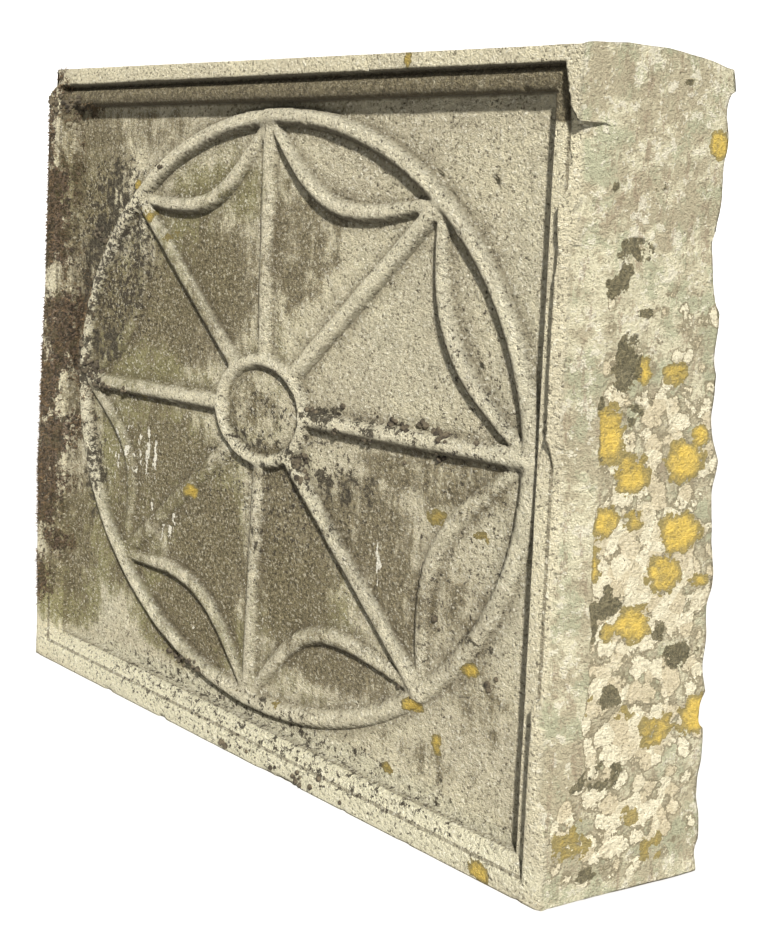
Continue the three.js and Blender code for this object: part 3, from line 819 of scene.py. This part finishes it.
def weathered_sandstone():
    stone = Finish("weathered_sandstone")
    clouds = stone.noise(75, 2, 0.6)
    shapes = stone.noise(30, 2, 0.6)
    blotches = stone.noise(14, 3, 0.65)
    ragged = stone.noise(6, 3, 0.7)
    fine = stone.noise(2.8, 3, 0.85)
    grain = stone.per_cell(1.9)
    drips = stone.noise(8, 3, 0.65, stretch=(1.0, 1.0, 0.25))
    speckle = (blotches - 0.5) * 0.9 + (ragged - 0.5) * 1.0 + (fine - 0.5) * 0.8
    running = (drips - 0.5) * 0.9 + (fine - 0.5) * 1.3 + (blotches - 0.5) * 0.8 + (grain - 0.5) * 0.12

    def scattered(mark, texture, low, high, full=1.0):
        """Specks that close up into a coat where the mark is strong."""
        strong = stone.mark(mark)
        return stone.band(strong * 0.6 + texture, low, high, 0, full) * stone.band(strong, 0.02, 0.2)

    # Clean stone, greyer or warmer from cloud to cloud, with a painted highlight that makes the rolls'
    # crests paler.
    front = stone.blend(stone.band(clouds, 0.35, 0.65), rgb(0.64, 0.58, 0.405), rgb(0.76, 0.695, 0.48))
    front = stone.blend(stone.mark("crest") * 0.35, front, rgb(0.92, 0.86, 0.64))
    front = stone.blend(stone.band(stone.mark("pale") + running * 0.5, 0.2, 0.8, 0, 0.8), front,
                        rgb(0.78, 0.74, 0.53))
    # Green growth, then grime that ran down the field.
    front = stone.blend(scattered("olive", running * 0.7, 0.06, 0.34, 0.88), front,
                        rgb(0.25, 0.23, 0.085))
    front = stone.blend(scattered("grime", running, 0.16, 0.38, 0.9), front,
                        stone.blend(stone.band(fine, 0.42, 0.6), rgb(0.10, 0.08, 0.04),
                                    rgb(0.32, 0.27, 0.15)))
    # A painted highlight on the rolls' flanks that face the key light, then dirt and painted shade in
    # the hollows, then painted shade on the flanks that face away from the light.
    front = stone.blend(stone.mark("painted_lit_flank") * 0.6, front, rgb(0.95, 0.90, 0.68))
    front = stone.blend(stone.band(stone.mark("hollow") + speckle * 0.6, 0.25, 1.1, 0, 0.7), front,
                        rgb(0.13, 0.105, 0.06))
    flank_shade = stone.band(stone.mark("under") + (ragged - 0.5) * 0.4, 0.05, 0.6, 0, 0.78)
    front = stone.blend(flank_shade, front, rgb(0.09, 0.072, 0.04))
    # The grain of the sand, light and dark.
    sand = (grain - 0.5) * 0.5 + (fine - 0.5) * 1.2
    # Light grains are held back where the flanks carry painted shade, and where grime lies.
    unshaded = stone.band(stone.mark("under"), 0, 0.5, 1, 0.15)
    bare_and_unshaded = unshaded * stone.band(stone.mark("grime"), 0, 1, 1, 0.55)
    front = stone.blend(stone.band(sand, 0.12, 0.36, 0, 0.62) * bare_and_unshaded, front, rgb(0.95, 0.91, 0.74))
    front = stone.blend(stone.band(sand, -0.12, -0.34, 0, 0.75), front, rgb(0.07, 0.058, 0.035))
    # The broken side, warm and blotched.
    side = stone.blend(stone.band(clouds + (blotches - 0.5) * 1.2, 0.38, 0.62), rgb(0.37, 0.33, 0.22),
                       rgb(0.55, 0.515, 0.36))
    side = stone.blend(stone.band(shapes + (fine - 0.5) * 0.6, 0.50, 0.60, 0, 0.75), side,
                       rgb(0.34, 0.35, 0.23))
    side = stone.blend(stone.band((ragged - 0.5) + (blotches - 0.5) * 0.8, 0.08, 0.12, 0, 0.8), side,
                       rgb(0.60, 0.565, 0.44))
    rust = stone.band(drips + (fine - 0.5) * 0.8, 0.56, 0.66, 0, 0.55)
    side = stone.blend(rust, side, rgb(0.23, 0.17, 0.11))
    # Cream lichen, grown together in round lobes with brown between them.
    lobes = stone.cells(LOBE)
    lobe_tint = stone.per_cell(LOBE)
    lobed = (0.52 - lobes) * 0.9 + (blotches - 0.5) * 1.2 + (ragged - 0.5) * 0.7
    between = scattered("cream", lobed, 0.16, 0.26, 0.85)
    side = stone.blend(between, side,
                       stone.blend(ragged, rgb(0.13, 0.105, 0.06), rgb(0.34, 0.30, 0.19)))
    cream = scattered("cream", lobed, 0.34, 0.37, 0.95)
    cream_colour = stone.blend(stone.band(lobe_tint + (blotches - 0.5), 0.25, 0.75),
                               rgb(0.58, 0.51, 0.35), rgb(0.74, 0.69, 0.51))
    cream_colour = stone.blend(stone.band(fine + (ragged - 0.5) * 0.6, 0.42, 0.60, 0.35, 0),
                               cream_colour, rgb(0.35, 0.29, 0.17))
    side = stone.blend(cream, side, cream_colour)
    side = stone.blend(stone.band(sand, -0.16, -0.40, 0, 0.55), side, rgb(0.12, 0.10, 0.06))
    colour = stone.blend(stone.mark("side"), front, side)
    # Moss along the left, brown and nearly black, with the stone showing here and there.
    moss = scattered("moss", speckle * 1.2 + (drips - 0.5) * 0.6, 0.22, 0.36)
    moss_colour = stone.blend(stone.band(fine + (grain - 0.5), 0.4, 0.65), rgb(0.025, 0.018, 0.012),
                              rgb(0.15, 0.10, 0.065))
    moss_colour = stone.blend(stone.band(blotches, 0.5, 0.62, 0, 0.6), moss_colour,
                              rgb(0.10, 0.085, 0.035))
    colour = stone.blend(moss * 0.92, colour, moss_colour)
    # Flecks of white lichen, and dark ones.
    chips = scattered("fleck", (drips - 0.5) * 1.1 + (ragged - 0.5) * 0.7, 0.70, 0.73, 0.95)
    colour = stone.blend(chips, colour, rgb(0.86, 0.82, 0.68))
    dots = scattered("fleck", (fine - 0.5) * 1.6 + (ragged - 0.5) * 0.5, 0.84, 0.92, 0.85)
    colour = stone.blend(dots, colour, rgb(0.84, 0.79, 0.62))
    specks = scattered("speck", (ragged - 0.5) * 1.2 - (fine - 0.5) * 1.0, 0.54, 0.60, 0.9)
    colour = stone.blend(specks, colour, rgb(0.05, 0.04, 0.027))
    # Yellow lichen, bright in the middle and olive toward its edge.
    petals = (0.5 - stone.cells(9)) * 0.4 + (ragged - 0.5) * 0.8 + (blotches - 0.5) * 1.3
    yellow = scattered("yellow", petals, 0.22, 0.27)
    bright = stone.band(stone.mark("yellow") + petals * 0.8 + (fine - 0.5) * 0.9, 0.5, 1.25)
    mustard = stone.blend(bright, rgb(0.25, 0.20, 0.07), rgb(0.64, 0.45, 0.08))
    colour = stone.blend(yellow * 0.95, colour, mustard)
    # Umber growth on the side and a nearly black crust on the front.
    dark = scattered("dark", petals * 1.2 + (fine - 0.5) * 0.4, 0.24, 0.28, 0.95)
    colour = stone.blend(dark, colour, stone.blend(stone.band(fine, 0.4, 0.65), rgb(0.075, 0.066, 0.035),
                                                   rgb(0.19, 0.165, 0.09)))
    crust = scattered("crust", speckle * 1.2 + (drips - 0.5) * 0.5, 0.38, 0.43, 0.95)
    colour = stone.blend(crust, colour, stone.blend(stone.band(fine, 0.4, 0.65), rgb(0.035, 0.03, 0.02),
                                                    rgb(0.13, 0.11, 0.07)))
    height = (grain * 0.5 + fine * 4.2 + ragged * 1.6) * stone.band(stone.mark("side"), 0, 1, 1, 0.45)
    rough = stone.band(grain, 0.3, 0.7, 0.97, 0.86)
    return stone.surface(colour, rough, height, strength=1.0, reach=0.004)


def growth(name, dark, light):
    """Moss or crumbs of lichen, darker and lighter from one to the next."""
    finish = Finish(name)
    colour = finish.blend(finish.band(finish.noise(5, 2, 0.6), 0.35, 0.65), rgb(*dark), rgb(*light))
    return finish.surface(colour, 0.95, finish.noise(0.8, 1), strength=0.3, reach=0.0003)


def scatter(name, host, mark, seed, density, shape, sizes, tilt, material):
    """A piece of many copies of a small shape, scattered over the host where the mark is strong.
    Density is copies to the square metre, sizes are the smallest and largest in metres, and tilt is
    how far a copy leans, in radians."""
    tree = bpy.data.node_groups.new(name, "GeometryNodeTree")
    tree.interface.new_socket("Geometry", in_out="INPUT", socket_type="NodeSocketGeometry")
    inputs = {"Density": ("NodeSocketFloat", density), "Seed": ("NodeSocketInt", seed),
              "Smallest": ("NodeSocketFloat", sizes[0]), "Largest": ("NodeSocketFloat", sizes[1]),
              "Tilt": ("NodeSocketFloat", tilt)}
    for label, (kind, _) in inputs.items():
        tree.interface.new_socket(label, in_out="INPUT", socket_type=kind)
    tree.interface.new_socket("Geometry", in_out="OUTPUT", socket_type="NodeSocketGeometry")

    def add(kind, settings=None, values=None):
        node = tree.nodes.new(kind)
        for key, setting in (settings or {}).items():
            setattr(node, key, setting)
        for key, value in (values or {}).items():
            if isinstance(value, bpy.types.NodeSocket):
                tree.links.new(value, node.inputs[key])
            else:
                node.inputs[key].default_value = value
        return node.outputs

    given = add("NodeGroupInput")
    strong = add("GeometryNodeInputNamedAttribute", {"data_type": "FLOAT"}, {"Name": mark})[0]
    share = add("ShaderNodeMath", {"operation": "MULTIPLY"}, {0: strong, 1: given["Density"]})[0]
    points = add("GeometryNodeDistributePointsOnFaces", None,
                 {"Mesh": given["Geometry"], "Density": share, "Seed": given["Seed"]})
    small = add(*shape)["Mesh"]
    less = add("ShaderNodeMath", {"operation": "MULTIPLY"}, {0: given["Tilt"], 1: -1.0})[0]
    low = add("ShaderNodeCombineXYZ", None, {0: less, 1: less, 2: 0.0})[0]
    high = add("ShaderNodeCombineXYZ", None, {0: given["Tilt"], 1: given["Tilt"], 2: 6.28})[0]
    lean = add("FunctionNodeRandomValue", {"data_type": "FLOAT_VECTOR"}, {"Min": low, "Max": high})[0]
    turned = add("FunctionNodeRotateRotation", {"rotation_space": "LOCAL"},
                 {"Rotation": points["Rotation"], "Rotate By": lean})[0]
    size = add("FunctionNodeRandomValue", {"data_type": "FLOAT"},
               {2: given["Smallest"], 3: given["Largest"]})[1]
    copies = add("GeometryNodeInstanceOnPoints", None,
                 {"Points": points["Points"], "Instance": small, "Rotation": turned, "Scale": size})[0]
    real = add("GeometryNodeRealizeInstances", None, {"Geometry": copies})[0]
    dressed = add("GeometryNodeSetMaterial", None, {"Geometry": real, "Material": material})[0]
    add("NodeGroupOutput", None, {"Geometry": dressed})

    carrier = bpy.data.objects.new(name + "_carrier", host.data)
    bpy.context.scene.collection.objects.link(carrier)
    modifier = carrier.modifiers.new(name, "NODES")
    modifier.node_group = tree
    for item in tree.interface.items_tree:
        if item.in_out == "INPUT" and item.name in inputs:
            modifier[item.identifier] = inputs[item.name][1]
    ready = carrier.evaluated_get(bpy.context.evaluated_depsgraph_get())
    mesh = bpy.data.meshes.new_from_object(ready)
    bpy.data.objects.remove(carrier)
    mesh.name = name
    piece = bpy.data.objects.new(name, mesh)
    bpy.context.scene.collection.objects.link(piece)
    return piece


# The studio

def studio():
    """A pale sheet that runs back over the floor and up behind the stone, and the lamps."""
    ahead, behind, bend, tall, half = -6.0, 3.0, 1.2, 6.0, 9.0
    turns = np.linspace(0, math.pi / 2, 13)
    profile = [(ahead, 0.0)]
    profile += [(behind + bend * math.sin(turn), bend - bend * math.cos(turn)) for turn in turns]
    profile.append((behind + bend, tall))
    # The sheet faces the camera, which looks from the right.
    back = Vector((-CAMERA_PLACE[0], -CAMERA_PLACE[1])).normalized()
    places = [(back.x * y - back.y * side, back.y * y + back.x * side, z)
              for y, z in profile for side in (half, -half)]
    faces = [(2 * i, 2 * i + 1, 2 * i + 3, 2 * i + 2) for i in range(len(profile) - 1)]
    sheet_mesh = bpy.data.meshes.new("pale_sheet")
    sheet_mesh.from_pydata(places, [], faces)
    sheet_mesh.shade_smooth()
    sheet = bpy.data.objects.new("pale_sheet", sheet_mesh)
    bpy.context.scene.collection.objects.link(sheet)
    paper = Finish("pale_floor")
    tint = paper.blend(paper.noise(900, 3), rgb(0.50, 0.50, 0.50), rgb(0.53, 0.53, 0.525))
    sheet.data.materials.append(paper.surface(tint, 0.9, paper.noise(2, 2), strength=0.1, reach=0.0005))

    world = bpy.data.worlds.new("soft_sky")
    world.use_nodes = True
    world.node_tree.nodes["Background"].inputs["Color"].default_value = rgb(0.92, 0.96, 1.0)
    world.node_tree.nodes["Background"].inputs["Strength"].default_value = SKY_STRENGTH
    bpy.context.scene.world = world

    light = bpy.data.lights.new("key", "SUN")
    light.energy = KEY_STRENGTH
    light.angle = math.radians(KEY_ANGLE)
    light.color = (1.0, 0.975, 0.945)
    key = bpy.data.objects.new("key", light)
    key.rotation_euler = Vector(KEY_TOWARDS).to_track_quat("Z", "Y").to_euler()
    bpy.context.scene.collection.objects.link(key)


def camera():
    lens = bpy.data.cameras.new("camera")
    lens.sensor_fit = "VERTICAL"
    lens.sensor_height = FILM
    lens.lens = FILM * FOCAL_PIXELS / FRAME_HEIGHT
    lens.shift_y = RISE_SHIFT
    lens.clip_end = 50
    thing = bpy.data.objects.new("camera", lens)
    axes = Matrix((CAMERA_RIGHT, [-v for v in CAMERA_DOWN], [-v for v in CAMERA_FORWARD])).transposed()
    thing.matrix_world = Matrix.Translation(CAMERA_PLACE) @ axes.to_4x4()
    bpy.context.scene.collection.objects.link(thing)
    bpy.context.scene.camera = thing


camera()
studio()
bpy.context.scene.view_settings.view_transform = "Standard"

stone_places, stone_faces, stone_sharp, stone_facts = build_stone()
panel = make_mesh("carved_panel", stone_places, stone_faces, stone_sharp)
facing = np.empty(3 * len(stone_places), dtype=np.float32)
panel.data.vertices.foreach_get("normal", facing)
stone_facts["facing"] = facing.reshape(-1, 3)
for mark, values in weather_and_painted_light(stone_places, stone_facts).items():
    give(panel, mark, values)
panel.data.materials.append(weathered_sandstone())
blade = ("GeometryNodeMeshCone", {"fill_type": "NONE"},
         {"Vertices": 3, "Radius Top": 0.0, "Radius Bottom": 0.14, "Depth": 1.0})
crumb = ("GeometryNodeMeshIcoSphere", None, {"Radius": 1.0, "Subdivisions": 1})
moss = scatter("moss", panel, "moss", 11, density=260000, shape=blade, sizes=(0.002, 0.0045), tilt=1.0,
               material=growth("brown_moss", (0.025, 0.018, 0.01), (0.14, 0.095, 0.05)))
crumbs = scatter("dark_crumbs", panel, "crumb", 23, density=150000, shape=crumb,
                 sizes=(0.0011, 0.0034), tilt=0.5,
                 material=growth("dark_lichen", (0.025, 0.02, 0.014), (0.085, 0.07, 0.045)))
for piece in (panel, moss, crumbs):
    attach(piece, "root")
    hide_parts("relief_panel")
